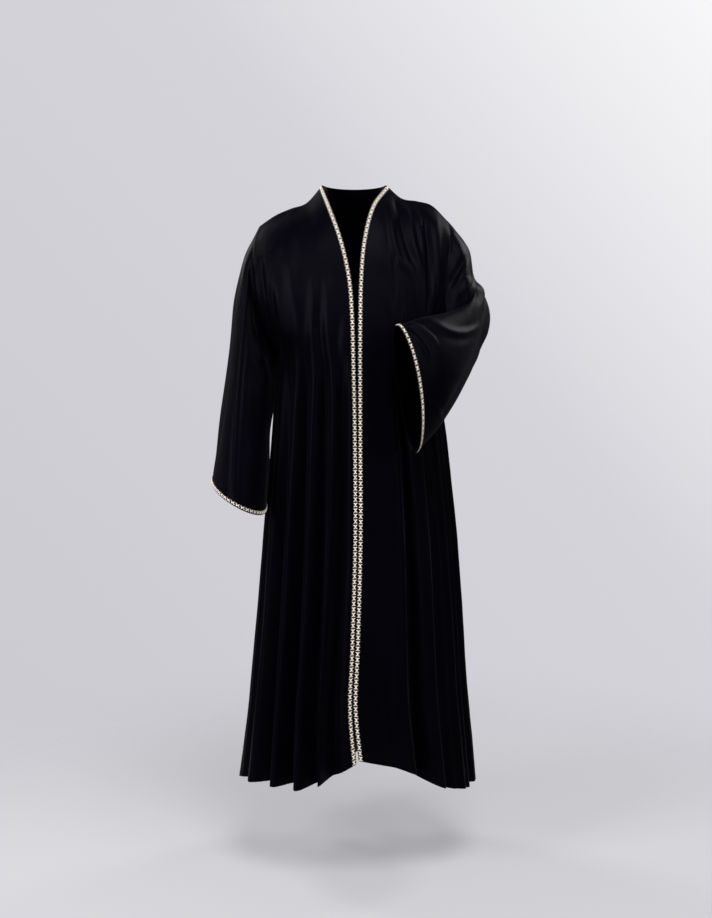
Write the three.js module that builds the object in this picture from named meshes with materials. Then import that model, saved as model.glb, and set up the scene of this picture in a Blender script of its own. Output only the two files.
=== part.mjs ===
import * as THREE from 'three';

// A long, loose abaya, open down the front and worn: two fronts, a back, two wide
// sleeves, and a flat braid along the front edges, the neckline and both cuffs.
// Millimetres. +Z is up, the front faces -Y, and +X is the wearer's left. The origin
// lies on the shoulder line at the middle of the neck, where the wearer holds it up.
// Every piece is a hollow cloth wall. Its outer face is a grid of points with rows
// (v, down the body or along the arm) and columns (u, across a panel or round an arm).

const CLOTH = 1.6; // thickness of the cloth wall
const SEAM_GAP = 0.3; // space between two pieces at a seam
const BRAID_WIDTH = 10.6; // also the width of the strip of cloth that carries the braid
const BRAID_THICKNESS = 1.6;
const BRAID_LIFT = 0.4; // space between the cloth and the braid on it

const FRONT_COLUMNS = 24;
const NECK_COLUMNS = 6;
const BACK_COLUMNS = 2 * FRONT_COLUMNS + NECK_COLUMNS;
const NECK_BLEND_COLUMNS = 8; // columns over which the back neck's strip widens out
const SIDE_LEAN_COLUMNS = 7; // columns over which a panel leans to its side seam
const FOLD_FADE = 0.08; // share of a panel's width where folds die out beside its edges
const FOLD_GROWTH = 0.8; // under 1, a fold deepens faster near its top than near the hem
const NECK_ROUND = 0.7; // 0 spaces the back neck's columns evenly, 1 as round an ellipse
const NECK_FULL = 0.8; // under 1 makes the back neck squarer than an ellipse
const NEARLY_FLAT = 0.8; // a hollow crease sharper than this keeps each side's own normal
const PROBE = 0.1; // part of a section over which a strip's length is measured

// Rows of the body panels, counted in the sections below: 0 is the shoulder seam.
const BRAID_ROW = 0.2;
const UNDERARM_SECTION = 5;
const BODY_ROWS = [
  0, BRAID_ROW, 0.6, 1, 1.5, 2, 2.5, 3, 3.5, 4, 4.5, 5,
  5.4, 6, 6.5, 7, 7.5, 8, 8.5, 9, 9.5, 10,
];
const UNDERARM_ROW = BODY_ROWS.indexOf(UNDERARM_SECTION);

// Sections of the two front edges, from the neck point of the shoulder to the hem.
const RIGHT_EDGE = [
  { at: 'shoulder', x: -78, y: 14, z: 54 },
  { at: 'collarbone', x: -57, y: -55, z: 6 },
  { at: 'chest', x: -29, y: -106, z: -70 },
  { at: 'bust', x: -10, y: -132, z: -155 },
  { at: 'ribs', x: -3, y: -152, z: -248 },
  { at: 'underarm', x: -0.5, y: -162, z: -345 },
  { at: 'waist', x: 2.6, y: -166, z: -500 },
  { at: 'hip', x: 3.6, y: -177, z: -740 },
  { at: 'knee', x: -3, y: -200, z: -980 },
  { at: 'shin', x: -8.5, y: -216, z: -1120 },
  { at: 'hem', x: 1, y: -234, z: -1246 },
];
const LEFT_EDGE = [
  { at: 'shoulder', x: 70, y: 14, z: 54 },
  { at: 'collarbone', x: 34, y: -55, z: 6 },
  { at: 'chest', x: 14, y: -106, z: -70 },
  { at: 'bust', x: 6.5, y: -132, z: -155 },
  { at: 'ribs', x: 4.5, y: -152, z: -248 },
  { at: 'underarm', x: 4, y: -162, z: -345 },
  { at: 'waist', x: 4.4, y: -166, z: -500 },
  { at: 'hip', x: 5.2, y: -177, z: -740 },
  { at: 'knee', x: -1, y: -200, z: -980 },
  { at: 'shin', x: -6, y: -216, z: -1120 },
  { at: 'hem', x: 6, y: -234, z: -1238 },
];

// The outer edges of the fronts: down the front of the armhole to the underarm, then
// down the side seam. round is 0 for a straight section and 1 for a quarter ellipse.
// q1, q2 and q3 are the shares of the height between the two edges that a section has
// dropped a quarter, half and three quarters of the way across.
const RIGHT_FRONT_SIDE = [
  { at: 'shoulder', x: -222, y: 5, z: -39, round: 0, q1: 0.43, q2: 0.57, q3: 0.74 },
  { at: 'collarbone', x: -234, y: -44, z: -78, round: 0.4, q1: 0.34, q2: 0.54, q3: 0.75 },
  { at: 'chest', x: -236, y: -76, z: -135, round: 0.8, q1: 0.25, q2: 0.5, q3: 0.75 },
  { at: 'bust', x: -228, y: -88, z: -203, round: 1, q1: 0.25, q2: 0.5, q3: 0.75 },
  { at: 'ribs', x: -210, y: -60, z: -276, round: 1, q1: 0.25, q2: 0.5, q3: 0.75 },
  { at: 'underarm', x: -187, y: -14, z: -334, round: 1, q1: 0.25, q2: 0.5, q3: 0.75 },
  { at: 'waist', x: -195, y: 0, z: -500, round: 1, q1: 0.25, q2: 0.5, q3: 0.75 },
  { at: 'hip', x: -216, y: 4, z: -755, round: 1, q1: 0.25, q2: 0.5, q3: 0.75 },
  { at: 'knee', x: -236, y: 6, z: -1000, round: 1, q1: 0.3, q2: 0.55, q3: 0.8 },
  { at: 'shin', x: -251, y: 3, z: -1160, round: 1, q1: 0.45, q2: 0.65, q3: 0.85 },
  { at: 'hem', x: -272, y: 0, z: -1344, round: 1, q1: 0.6, q2: 0.68, q3: 0.8 },
];
const LEFT_FRONT_SIDE = [
  { at: 'shoulder', x: 210, y: 5, z: -26, round: 0, q1: 0.37, q2: 0.45, q3: 0.58 },
  { at: 'collarbone', x: 215, y: -46, z: -64, round: 0.4, q1: 0.3, q2: 0.47, q3: 0.66 },
  { at: 'chest', x: 206, y: -80, z: -130, round: 0.8, q1: 0.25, q2: 0.5, q3: 0.75 },
  { at: 'bust', x: 199, y: -92, z: -203, round: 1, q1: 0.25, q2: 0.5, q3: 0.75 },
  { at: 'ribs', x: 195, y: -62, z: -276, round: 1, q1: 0.25, q2: 0.5, q3: 0.75 },
  { at: 'underarm', x: 186, y: -12, z: -338, round: 1, q1: 0.25, q2: 0.5, q3: 0.75 },
  { at: 'waist', x: 206, y: 0, z: -500, round: 1, q1: 0.25, q2: 0.5, q3: 0.75 },
  { at: 'hip', x: 232, y: 4, z: -755, round: 1, q1: 0.25, q2: 0.5, q3: 0.75 },
  { at: 'knee', x: 249, y: 6, z: -1000, round: 1, q1: 0.25, q2: 0.5, q3: 0.75 },
  { at: 'shin', x: 260, y: 3, z: -1160, round: 1, q1: 0.25, q2: 0.6, q3: 0.85 },
  { at: 'hem', x: 276, y: 0, z: -1348, round: 1, q1: 0.24, q2: 0.76, q3: 0.97 },
];

// The back of each armhole. Below the underarm the back shares the fronts' side seam.
const RIGHT_BACK_ARMHOLE = [
  { at: 'shoulder', x: -222, y: 5, z: -39 },
  { at: 'blade', x: -232, y: 58, z: -80 },
  { at: 'arm middle', x: -232, y: 92, z: -138 },
  { at: 'arm low', x: -224, y: 100, z: -205 },
  { at: 'back rib', x: -207, y: 72, z: -278 },
];
const LEFT_BACK_ARMHOLE = [
  { at: 'shoulder', x: 210, y: 5, z: -26 },
  { at: 'blade', x: 221, y: 58, z: -70 },
  { at: 'arm middle', x: 216, y: 92, z: -134 },
  { at: 'arm low', x: 210, y: 100, z: -205 },
  { at: 'back rib', x: 200, y: 72, z: -278 },
];

// The middle of the back. square is 1 for a half ellipse, and less for a flatter back.
const BACK_MIDDLE = [
  { at: 'back neck', y: 70, z: 44, square: 1 },
  { at: 'blades', y: 104, z: -22, square: 0.5 },
  { at: 'arm middle', y: 120, z: -95, square: 0.5 },
  { at: 'arm low', y: 126, z: -175, square: 0.5 },
  { at: 'back rib', y: 126, z: -260, square: 0.6 },
  { at: 'underarm', y: 124, z: -345, square: 0.8 },
  { at: 'waist', y: 124, z: -500, square: 0.9 },
  { at: 'hip', y: 148, z: -755, square: 0.9 },
  { at: 'knee', y: 178, z: -1000, square: 0.95 },
  { at: 'shin', y: 200, z: -1160, square: 1 },
  { at: 'hem', y: 226, z: -1352, square: 1 },
];

// Folds hang as troughs with a soft ridge on each side. at is the column share, 0 to 1
// across the panel, and drift is how far the fold and its columns have moved at the hem.
const RIGHT_FRONT_FOLDS = [
  { at: 0.085, drift: 0.06, begins: -300, depth: 20, width: 0.042 },
  { at: 0.255, drift: -0.014, begins: -330, depth: 24, width: 0.055 },
  { at: 0.434, drift: -0.048, begins: -300, depth: 28, width: 0.06 },
  { at: 0.647, drift: -0.12, begins: -380, depth: 26, width: 0.06 },
  { at: 0.84, drift: -0.06, begins: -480, depth: 22, width: 0.055 },
];
const LEFT_FRONT_FOLDS = [
  { at: 0.317, drift: 0.065, begins: -330, depth: 30, width: 0.055 },
  { at: 0.52, drift: 0.05, begins: -420, depth: 14, width: 0.05 },
  { at: 0.8, drift: 0.03, begins: -380, depth: 28, width: 0.06 },
];
const BACK_FOLDS = [
  { at: 0.1, drift: -0.01, begins: -420, depth: 26, width: 0.03 },
  { at: 0.22, drift: -0.01, begins: -330, depth: 34, width: 0.034 },
  { at: 0.35, drift: -0.01, begins: -260, depth: 32, width: 0.034 },
  { at: 0.475, drift: 0, begins: -300, depth: 36, width: 0.036 },
  { at: 0.6, drift: 0.01, begins: -240, depth: 30, width: 0.033 },
  { at: 0.72, drift: 0.01, begins: -350, depth: 34, width: 0.034 },
  { at: 0.88, drift: 0.015, begins: -430, depth: 28, width: 0.032 },
];

// Sections of the sleeves below the armhole, each through four places round the arm.
// They are the sides of a hanging arm, so on the bent left arm the front side comes to
// lie on top of the forearm, and the outer side faces forwards.
const RIGHT_SLEEVE = [
  { at: 'upper arm', outer: [-257, 5, -110], front: [-245, -102, -212],
    inner: [-190, -26, -366], back: [-244, 108, -220] },
  { at: 'above elbow', outer: [-277, 0, -200], front: [-252, -116, -285],
    inner: [-186, -54, -412], back: [-250, 100, -290] },
  { at: 'elbow', outer: [-290, -4, -330], front: [-260, -134, -400],
    inner: [-197, -60, -490], back: [-256, 88, -400] },
  { at: 'forearm', outer: [-311, -18, -475], front: [-270, -154, -525],
    inner: [-200, -62, -590], back: [-262, 74, -515] },
  { at: 'cuff', outer: [-334, -42, -624], front: [-272, -176, -664],
    inner: [-208, -66, -692], back: [-272, 62, -640] },
];
const LEFT_SLEEVE = [
  { at: 'upper arm', outer: [259, 6, -90], front: [226, -102, -205],
    inner: [203, -16, -364], back: [240, 106, -222] },
  { at: 'above elbow', outer: [273, 2, -161], front: [246, -102, -215],
    inner: [214, -10, -376], back: [270, 86, -258] },
  { at: 'elbow', outer: [298, -18, -202], front: [252, -92, -224],
    inner: [224, -30, -384], back: [290, 18, -320] },
  { at: 'forearm', outer: [260, -138, -284], front: [220, -124, -228],
    inner: [200, -84, -356], back: [252, -62, -390] },
  { at: 'wrist', outer: [200, -246, -356], front: [150, -206, -236],
    inner: [146, -146, -372], back: [188, -158, -478] },
  { at: 'cuff', outer: [136, -286, -386], front: [88, -262, -250],
    inner: [92, -206, -390], back: [130, -232, -534] },
];
const SLEEVE_STEPS = [3, 2, 2, 2, 2, 2]; // rings between one section and the next

// The two materials.
const cloth = (color, roughness) => new THREE.MeshStandardMaterial({ color, roughness, metalness: 0 });
const BLACK_CREPE = cloth(0x0d0c11, 0.72);
const CREAM_BRAID = cloth(0xd9c6b4, 0.6);

const mix = (a, b, share) => a + (b - a) * share;
const toVector = ([x, y, z]) => new THREE.Vector3(x, y, z);

// A smooth curve through equally spaced values, at a place counted in values.
function smooth(values, place) {
  const last = values.length - 1;
  const start = Math.min(Math.floor(place), last - 1);
  const t = place - start;
  const b = values[start];
  const c = values[start + 1];
  const a = start > 0 ? values[start - 1] : 2 * b - c;
  const d = start + 2 <= last ? values[start + 2] : 2 * c - b;
  return b + 0.5 * t * (c - a + t * (2 * a - 5 * b + 4 * c - d + t * (3 * (b - c) + d - a)));
}

function smoothPoint(points, place) {
  return new THREE.Vector3(
    smooth(points.map((point) => point.x), place),
    smooth(points.map((point) => point.y), place),
    smooth(points.map((point) => point.z), place),
  );
}

const column = (table, name, place) => smooth(table.map((row) => row[name]), place);
const ease = (share) => THREE.MathUtils.smoothstep(share, 0, 1);

// How much of its depth a fold has at a height: none where it begins, all at the hem.
function foldGrowth(fold, z, hemZ) {
  const down = THREE.MathUtils.clamp((fold.begins - z) / (fold.begins - hemZ), 0, 1);
  return Math.pow(down, FOLD_GROWTH);
}

// How far the folds move the cloth outwards at a column share.
function foldOffset(folds, share, z, hemZ) {
  const fade = ease(share / FOLD_FADE) * ease((1 - share) / FOLD_FADE);
  let offset = 0;
  for (const fold of folds) {
    const across = (share - fold.at) / fold.width;
    const profile = (1 - across * across) * Math.exp((-across * across) / 2);
    offset -= fold.depth * foldGrowth(fold, z, hemZ) * profile;
  }
  return offset * fade;
}

// How far the columns drift along with the folds beside them.
function foldDrift(folds, share, z, hemZ) {
  const stops = [{ at: 0, drift: 0 }, ...folds, { at: 1, drift: 0 }];
  const next = Math.max(1, stops.findIndex((stop) => stop.at >= share));
  const [a, b] = [stops[next - 1], stops[next]];
  const drift = mix(a.drift, b.drift, ease((share - a.at) / (b.at - a.at)));
  return drift * THREE.MathUtils.clamp(z / hemZ, 0, 1);
}

// A point of a front panel: share runs from the front edge to the armhole and side seam.
function frontPoint(edge, side, folds, turn, share, v) {
  const [ex, ey, ez] = ['x', 'y', 'z'].map((name) => column(edge, name, v));
  const [sx, sy, sz] = ['x', 'y', 'z'].map((name) => column(side, name, v));
  const [q1, q2, q3, round] = ['q1', 'q2', 'q3', 'round'].map((name) => column(side, name, v));
  const hemZ = side.at(-1).z;
  const u = share + foldDrift(folds, share, mix(ez, sz, share), hemZ);
  const angle = (u * Math.PI) / 2;
  const x = mix(mix(ex, sx, u), mix(ex, sx, Math.sin(angle)), round);
  const y = mix(mix(ey, sy, u), mix(sy, ey, Math.cos(angle)), round);
  const z = mix(ez, sz, smooth([0, q1, q2, q3, 1], u * 4));
  const outwards = new THREE.Vector2(
    turn * Math.sin(angle) * Math.abs(ey - sy),
    -Math.cos(angle) * Math.abs(sx - ex),
  );
  outwards.normalize().multiplyScalar(foldOffset(folds, share, z, hemZ));
  return new THREE.Vector3(x + outwards.x, y + outwards.y, z);
}

// The column shares of a front panel on one row: the first strip carries the braid.
function frontColumns(edge, side, folds, v) {
  const probe = 0.03;
  const edgePoint = frontPoint(edge, side, folds, 1, 0, v);
  const reach = frontPoint(edge, side, folds, 1, probe, v).distanceTo(edgePoint) / probe;
  const strip = BRAID_WIDTH / reach;
  const places = [0];
  for (let i = 0; i < FRONT_COLUMNS; i += 1) {
    places.push(mix(strip, 1, i / (FRONT_COLUMNS - 1)));
  }
  return places;
}

function frontGrid(edge, side, folds, turn) {
  return BODY_ROWS.map((v) => {
    const shares = frontColumns(edge, side, folds, v);
    return shares.map((share) => frontPoint(edge, side, folds, turn, share, v));
  });
}

const rightFrontGrid = frontGrid(RIGHT_EDGE, RIGHT_FRONT_SIDE, RIGHT_FRONT_FOLDS, -1);
const leftFrontGrid = frontGrid(LEFT_EDGE, LEFT_FRONT_SIDE, LEFT_FRONT_FOLDS, 1);

// The back's first section: the right shoulder seam, the back neck, the left shoulder seam.
function backTop() {
  const rightShoulder = [...rightFrontGrid[0]].reverse();
  const leftShoulder = leftFrontGrid[0];
  const from = rightShoulder.at(-1);
  const to = leftShoulder[0];
  const middle = BACK_MIDDLE[0];
  const neck = [];
  for (let i = 1; i < NECK_COLUMNS; i += 1) {
    const share = i / NECK_COLUMNS;
    const angle = Math.PI * share;
    const roundShare = (1 - Math.cos(angle)) / 2;
    neck.push(new THREE.Vector3(
      mix(from.x, to.x, mix(share, roundShare, NECK_ROUND)),
      mix(from.y, middle.y, Math.pow(Math.sin(angle), NECK_FULL)),
      mix(from.z, middle.z, Math.sin(angle)),
    ));
  }
  return [...rightShoulder, ...neck, ...leftShoulder];
}

// A later section of the back: s runs from the right side to the left side.
function backSectionPoint(section, s) {
  const armhole = section < UNDERARM_SECTION;
  const right = armhole ? RIGHT_BACK_ARMHOLE[section] : RIGHT_FRONT_SIDE[section];
  const left = armhole ? LEFT_BACK_ARMHOLE[section] : LEFT_FRONT_SIDE[section];
  const middle = BACK_MIDDLE[section];
  const round = Math.sin(Math.PI * s);
  return new THREE.Vector3(
    mix(right.x, left.x, (1 - Math.cos(Math.PI * s)) / 2),
    mix(mix(right.y, left.y, s), middle.y, Math.pow(round, middle.square)),
    mix(mix(right.z, left.z, s), middle.z, round),
  );
}

function backGrid() {
  const top = backTop();
  const hemZ = BACK_MIDDLE.at(-1).z;
  const lines = top.map((point, i) => {
    const share = i / BACK_COLUMNS;
    const below = BACK_MIDDLE.slice(1).map((middle, above) => {
      const drift = foldDrift(BACK_FOLDS, share, middle.z, hemZ);
      return backSectionPoint(above + 1, share + drift);
    });
    return [point, ...below];
  });
  const neckFrom = FRONT_COLUMNS;
  const neckTo = FRONT_COLUMNS + NECK_COLUMNS;
  return BODY_ROWS.map((v) => lines.map((line, i) => {
    const s = i / BACK_COLUMNS;
    let place = v;
    if (v === BRAID_ROW) {
      const strip = BRAID_WIDTH / (smoothPoint(line, PROBE).distanceTo(line[0]) / PROBE);
      const beside = Math.max(neckFrom - i, i - neckTo, 0);
      place = mix(strip, BRAID_ROW, ease(beside / NECK_BLEND_COLUMNS));
    }
    const point = smoothPoint(line, place);
    const outwards = new THREE.Vector2(-Math.cos(Math.PI * s), Math.sin(Math.PI * s));
    outwards.multiplyScalar(foldOffset(BACK_FOLDS, s, point.z, hemZ));
    return new THREE.Vector3(point.x + outwards.x, point.y + outwards.y, point.z);
  }));
}

const backPanelGrid = backGrid();

// Below the underarm a front and the back share the side seam: both lean to its middle.
function joinSideSeam(front, backOrder) {
  for (let row = UNDERARM_ROW + 1; row < BODY_ROWS.length; row += 1) {
    const backRow = backOrder(backPanelGrid[row]);
    const frontRow = [...front[row]].reverse();
    const middle = frontRow[0].clone().lerp(backRow[0], 0.5);
    for (const line of [frontRow, backRow]) {
      const lean = middle.clone().sub(line[0]);
      for (let i = 0; i < SIDE_LEAN_COLUMNS; i += 1) {
        line[i].addScaledVector(lean, 1 - ease(i / SIDE_LEAN_COLUMNS));
      }
    }
  }
}

joinSideSeam(rightFrontGrid, (row) => row);
joinSideSeam(leftFrontGrid, (row) => [...row].reverse());

// The armhole as a ring: down the front panel's side, then up the back panel's side.
function armhole(front, backIndex) {
  const ring = [];
  for (let row = 0; row <= UNDERARM_ROW; row += 1) {
    ring.push(front[row].at(-1));
  }
  for (let row = UNDERARM_ROW - 1; row > 0; row -= 1) {
    ring.push(backPanelGrid[row].at(backIndex));
  }
  return ring;
}

// A point of a sleeve section: turn is 0 on the outer side, a quarter at the front.
function sleeveSectionPoint(section, turn) {
  const c = Math.cos(2 * Math.PI * turn);
  const s = Math.sin(2 * Math.PI * turn);
  return new THREE.Vector3()
    .addScaledVector(toVector(section.outer), (c * c + c) / 2)
    .addScaledVector(toVector(section.inner), (c * c - c) / 2)
    .addScaledVector(toVector(section.front), (s * s + s) / 2)
    .addScaledVector(toVector(section.back), (s * s - s) / 2);
}

function sleeveGrid(ring, sections) {
  const lines = ring.map((point, i) => {
    const turn = i / ring.length;
    return [point, ...sections.map((section) => sleeveSectionPoint(section, turn))];
  });
  const places = [0];
  sections.forEach((_, i) => {
    for (let step = 1; step <= SLEEVE_STEPS[i]; step += 1) {
      places.push(i + step / SLEEVE_STEPS[i]);
    }
  });
  const grid = places.map((place) => lines.map((line) => smoothPoint(line, place)));
  const strip = lines.map((line) => {
    const last = line.length - 1;
    const reach = line[last].distanceTo(smoothPoint(line, last - PROBE)) / PROBE;
    return smoothPoint(line, last - BRAID_WIDTH / reach);
  });
  grid.splice(grid.length - 1, 0, strip);
  return grid;
}

const rightSleeveGrid = sleeveGrid(armhole(rightFrontGrid, 0), RIGHT_SLEEVE);
const leftSleeveGrid = sleeveGrid(armhole(leftFrontGrid, -1), LEFT_SLEEVE);

// Every cloth piece: closed joins the last column to the first, flip turns the faces
// round, and seams names the edges that are sewn to another piece.
const CLOTH_PIECES = [
  { name: 'right_front', grid: rightFrontGrid, seams: ['top', 'last'] },
  { name: 'left_front', grid: leftFrontGrid, flip: true, seams: ['top', 'last'] },
  { name: 'back', grid: backPanelGrid, seams: ['top', 'first', 'last'] },
  { name: 'right_sleeve', grid: rightSleeveGrid, closed: true, flip: true, seams: ['top'] },
  { name: 'left_sleeve', grid: leftSleeveGrid, closed: true, seams: ['top'] },
];

// The two triangles of each grid cell, as index triples, with the outer side facing out.
function gridFaces(rows, columns, closed, flip) {
  const faces = [];
  const cells = closed ? columns : columns - 1;
  for (let r = 0; r < rows - 1; r += 1) {
    for (let c = 0; c < cells; c += 1) {
      const a = r * columns + c;
      const b = r * columns + ((c + 1) % columns);
      const d = a + columns;
      const e = b + columns;
      faces.push(...(flip ? [[a, e, b], [a, d, e]] : [[a, b, e], [a, e, d]]));
    }
  }
  return faces;
}

function vertexNormals(points, faces) {
  const normals = points.map(() => new THREE.Vector3());
  for (const face of faces) {
    const [p, q, r] = face.map((index) => points[index]);
    const normal = q.clone().sub(p).cross(r.clone().sub(p));
    face.forEach((index) => normals[index].add(normal));
  }
  return normals;
}

const placeKey = (point) => [point.x, point.y, point.z].map((value) => value.toFixed(2)).join(' ');

// Adds each piece's points, faces and normals, and the normals that pieces share at seams.
function prepare(pieces) {
  const shared = new Map();
  for (const piece of pieces) {
    piece.points = piece.grid.flat();
    piece.faces = gridFaces(piece.grid.length, piece.grid[0].length, piece.closed, piece.flip);
    piece.normals = vertexNormals(piece.points, piece.faces);
    piece.points.forEach((point, i) => {
      const key = placeKey(point);
      const sum = shared.get(key) ?? new THREE.Vector3();
      shared.set(key, sum.add(piece.normals[i]));
    });
  }
  for (const piece of pieces) {
    piece.normals = piece.normals.map((own, i) => {
      own.normalize();
      const together = shared.get(placeKey(piece.points[i])).clone().normalize();
      return { own, together, facing: own.dot(together) };
    });
  }
}

// The direction along a piece, away from its sewn edges, at a point of such an edge.
function awayFromSeam(piece, row, columnIndex) {
  const { grid, seams } = piece;
  const line = grid[row];
  const insideOf = [];
  if (row === 0 && seams.includes('top')) {
    insideOf.push(grid[1][columnIndex]);
  }
  if (columnIndex === 0 && seams.includes('first')) {
    insideOf.push(line[1]);
  }
  if (columnIndex === line.length - 1 && seams.includes('last')) {
    insideOf.push(line.at(-2));
  }
  const away = new THREE.Vector3();
  insideOf.forEach((inside) => away.add(inside.clone().sub(line[columnIndex]).normalize()));
  return away;
}

// A closed wall between an outer and an inner set of points over the same faces.
function wallGeometry(outer, inner, faces) {
  const count = outer.length;
  const triangles = faces.flatMap(([a, b, c]) => [[a, b, c], [a + count, c + count, b + count]]);
  const open = new Map();
  for (const face of faces) {
    face.forEach((from, i) => {
      const to = face[(i + 1) % 3];
      if (!open.delete(`${to} ${from}`)) {
        open.set(`${from} ${to}`, [from, to]);
      }
    });
  }
  for (const [from, to] of open.values()) {
    triangles.push([to, from, from + count], [to, from + count, to + count]);
  }
  const geometry = new THREE.BufferGeometry();
  const coordinates = [...outer, ...inner].flatMap((point) => [point.x, point.y, point.z]);
  geometry.setAttribute('position', new THREE.Float32BufferAttribute(coordinates, 3));
  geometry.setIndex(triangles.flat());
  geometry.computeVertexNormals();
  return geometry;
}

// Sewn edges stand half a seam gap back in their own piece. On a ridge the pieces are
// mitred. In a deep crease each piece keeps its own normal and draws back from the other.
function clothMesh(piece) {
  const columns = piece.grid[0].length;
  const outer = [];
  const inner = [];
  piece.points.forEach((point, i) => {
    const { own, together, facing } = piece.normals[i];
    const away = awayFromSeam(piece, Math.floor(i / columns), i % columns);
    const mitred = facing > NEARLY_FLAT || together.dot(away) < 0;
    const moved = point.clone().addScaledVector(away, SEAM_GAP / 2);
    if (!mitred) {
      moved.addScaledVector(own, -SEAM_GAP * (1 - facing));
    }
    outer.push(moved);
    inner.push(moved.clone().addScaledVector(mitred ? together : own, -CLOTH));
  });
  const mesh = new THREE.Mesh(wallGeometry(outer, inner, piece.faces), BLACK_CREPE);
  mesh.name = piece.name;
  return mesh;
}

// A braid lies on a strip of a cloth piece's own points, moved out. Each rail names two
// of them: one on the cloth's edge, and one a braid's width inside it.
function braidMesh(name, piece, rails, { closed = false, flip = false } = {}) {
  const outer = [];
  const inner = [];
  rails.forEach((rail, i) => {
    const shift = new THREE.Vector3();
    if (!closed && (i === 0 || i === rails.length - 1)) {
      const next = rails[i === 0 ? 1 : i - 1];
      shift.copy(piece.points[next[0]]).sub(piece.points[rail[0]]).setLength(SEAM_GAP);
    }
    for (const index of rail) {
      const point = piece.points[index].clone().add(shift);
      const normal = piece.normals[index].together;
      inner.push(point.clone().addScaledVector(normal, BRAID_LIFT));
      outer.push(point.clone().addScaledVector(normal, BRAID_LIFT + BRAID_THICKNESS));
    }
  });
  const faces = gridFaces(closed ? rails.length + 1 : rails.length, 2, false, flip)
    .map((face) => face.map((index) => index % outer.length));
  const mesh = new THREE.Mesh(wallGeometry(outer, inner, faces), CREAM_BRAID);
  mesh.name = name;
  return mesh;
}

prepare(CLOTH_PIECES);
const pieceNamed = (name) => CLOTH_PIECES.find((piece) => piece.name === name);

function frontBraid(name, pieceName, flip) {
  const piece = pieceNamed(pieceName);
  const columns = piece.grid[0].length;
  const rails = piece.grid.map((_, row) => [row * columns, row * columns + 1]);
  return braidMesh(name, piece, rails, { flip });
}

function neckBraid() {
  const piece = pieceNamed('back');
  const columns = piece.grid[0].length;
  const rails = [];
  for (let i = FRONT_COLUMNS; i <= FRONT_COLUMNS + NECK_COLUMNS; i += 1) {
    rails.push([i, i + columns]);
  }
  return braidMesh('neck_trim', piece, rails, { flip: true });
}

function cuffBraid(name, pieceName, flip) {
  const piece = pieceNamed(pieceName);
  const columns = piece.grid[0].length;
  const last = (piece.grid.length - 1) * columns;
  const rails = piece.grid[0].map((_, i) => [last + i, last + i - columns]);
  return braidMesh(name, piece, rails, { closed: true, flip });
}

const abaya = new THREE.Group();
abaya.name = 'abaya';
abaya.add(
  ...CLOTH_PIECES.map(clothMesh),
  frontBraid('right_front_trim', 'right_front', false),
  frontBraid('left_front_trim', 'left_front', true),
  neckBraid(),
  cuffBraid('right_cuff_trim', 'right_sleeve', true),
  cuffBraid('left_cuff_trim', 'left_sleeve', false),
);

export default abaya;
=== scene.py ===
"""A worn abaya: black crepe hanging in soft folds, with a cream braid along its edges.

The cloth is made again as thin shells on the same sections as the CAD pieces, in
millimetres, with finer folds, creases, seams and hems. A shell is a grid of points:
rows run down the body or along the arm, columns across a panel or round an arm.
"""

import math

import bpy
import mathutils
import numpy as np
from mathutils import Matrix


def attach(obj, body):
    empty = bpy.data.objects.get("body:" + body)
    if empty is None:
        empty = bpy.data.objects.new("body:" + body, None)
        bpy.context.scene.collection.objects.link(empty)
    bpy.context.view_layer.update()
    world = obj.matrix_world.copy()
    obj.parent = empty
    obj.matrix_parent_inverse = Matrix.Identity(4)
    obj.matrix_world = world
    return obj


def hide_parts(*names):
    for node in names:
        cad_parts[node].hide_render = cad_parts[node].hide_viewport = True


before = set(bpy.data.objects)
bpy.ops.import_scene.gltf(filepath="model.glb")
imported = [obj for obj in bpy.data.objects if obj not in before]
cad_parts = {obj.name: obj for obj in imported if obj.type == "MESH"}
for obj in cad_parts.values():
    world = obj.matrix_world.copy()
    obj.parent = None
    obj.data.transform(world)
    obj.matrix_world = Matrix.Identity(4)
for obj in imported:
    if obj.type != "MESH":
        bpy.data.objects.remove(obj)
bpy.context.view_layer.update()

MM = 0.001


def table(names, *rows):
    """Rows of numbers, as one array for each named column."""
    return dict(zip(names.split(), np.array(rows, float).T))


# ---- Sizes and sections of the cloth, as in the CAD pieces ----

BRAID_WIDTH = 10.6  # also the width of the strip of cloth that carries the braid
FRONT_COLUMNS = 24
NECK_COLUMNS = 6
BACK_COLUMNS = 2 * FRONT_COLUMNS + NECK_COLUMNS
SIDE_LEAN_COLUMNS = 7  # columns over which a panel leans to its side seam
FOLD_FADE = 0.08  # share of a panel's width where folds die out beside its edges
FOLD_GROWTH = 0.8  # under 1, a fold deepens faster near its top than near the hem
EDGE_SHARE = 0.03  # share of a front's width that lengths near its edge are judged by
NECK_ROUND = 0.7  # 0 spaces the back neck's columns evenly, 1 as round an ellipse
NECK_FULL = 0.8  # under 1 makes the back neck squarer than an ellipse

# Rows of an armhole, counted in sections: 0 is the shoulder seam, 5 the underarm.
ARMHOLE_ROWS = np.array([0, 0.2, 0.6, 1, 1.5, 2, 2.5, 3, 3.5, 4, 4.5, 5])
UNDERARM = 5
HEM = 10

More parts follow.
